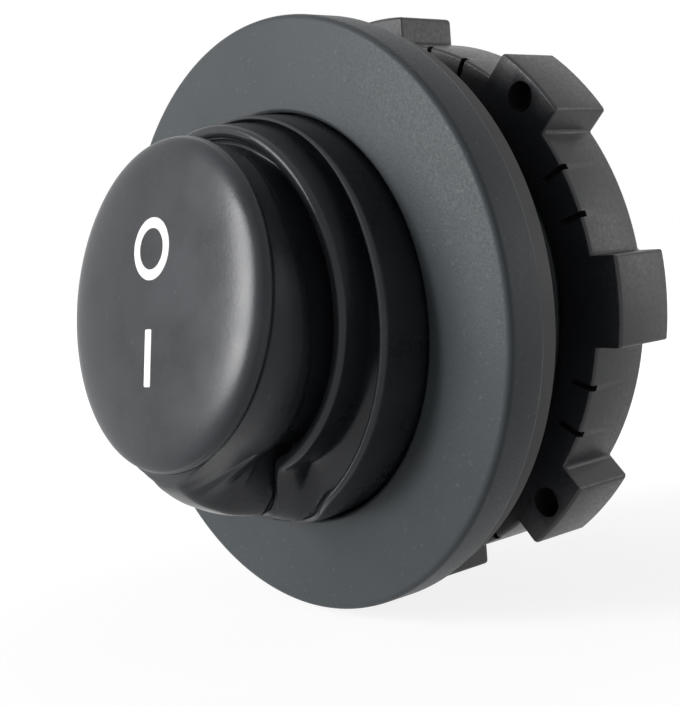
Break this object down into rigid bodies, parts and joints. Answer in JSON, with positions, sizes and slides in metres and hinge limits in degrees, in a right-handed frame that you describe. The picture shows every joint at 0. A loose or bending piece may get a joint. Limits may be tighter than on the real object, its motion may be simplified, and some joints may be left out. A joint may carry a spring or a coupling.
{
  "type": "panel rocker switch",
  "caption": "Round panel rocker switch with a bellows boot over the rocker, a threaded barrel, a gasket, a castellated ring nut and rear tab terminals.",
  "frame": {"origin": "on the switch axis, in the plane of the bezel flange's rear face", "axes": "-Y out of the switch's face, +Z towards the O end of the rocker, +X to the right seen from the front"},
  "size_m": [0.0404, 0.0397, 0.0404],
  "materials": {
    "bezel_plastic": "satin, finely grained black nylon",
    "boot_rubber": "smooth matte black rubber",
    "nut_plastic": "moulded black nylon",
    "case_plastic": "black phenolic",
    "rocker_plastic": "dark grey nylon",
    "gasket_rubber": "matte",
    "steel": "plated steel",
    "brass": "tin-washed brass",
    "copper": "bare copper strip",
    "silver": "silver alloy"
  },
  "bodies": {
    "housing": {"housing": "bezel_plastic", "boot_clamp_ring": "steel", "contact_case": "case_plastic", "terminal_base": "case_plastic", "pivot_pin": "steel", "fixed_contact_left": "silver", "fixed_contact_right": "silver", "common_terminal_left": "brass", "common_terminal_right": "brass", "switched_terminal_left": "brass", "switched_terminal_right": "brass", "case_screw_1": "steel", "case_screw_2": "steel", "case_screw_3": "steel", "case_screw_4": "steel", "panel_gasket": "gasket_rubber", "ring_nut": "nut_plastic"},
    "rocker": {"rocker": "rocker_plastic", "rubber_boot": "boot_rubber", "plunger_left": "brass", "plunger_right": "brass", "spring_left": "steel", "spring_right": "steel"},
    "lever_left": {"lever_left": "copper", "moving_contact_left": "silver"},
    "lever_right": {"lever_right": "copper", "moving_contact_right": "silver"}
  },
  "joints": [
    {"name": "rocker_tilt", "type": "hinge", "parent": "housing", "child": "rocker", "pos_m": [0, -0.0018, 0], "axis": [1, 0, 0], "range_deg": [0, 20], "deforming": ["rubber_boot"]},
    {"name": "lever_left_tilt", "type": "hinge", "parent": "housing", "child": "lever_left", "pos_m": [-0.00425, 0.00752, 0], "axis": [1, 0, 0], "range_deg": [-16, 0]},
    {"name": "lever_right_tilt", "type": "hinge", "parent": "housing", "child": "lever_right", "pos_m": [0.00425, 0.00752, 0], "axis": [1, 0, 0], "range_deg": [-16, 0]}
  ],
  "couplings": [
    {"joint": "lever_left_tilt", "follows": "rocker_tilt", "ratio": -0.8},
    {"joint": "lever_right_tilt", "follows": "rocker_tilt", "ratio": -0.8}
  ]
}
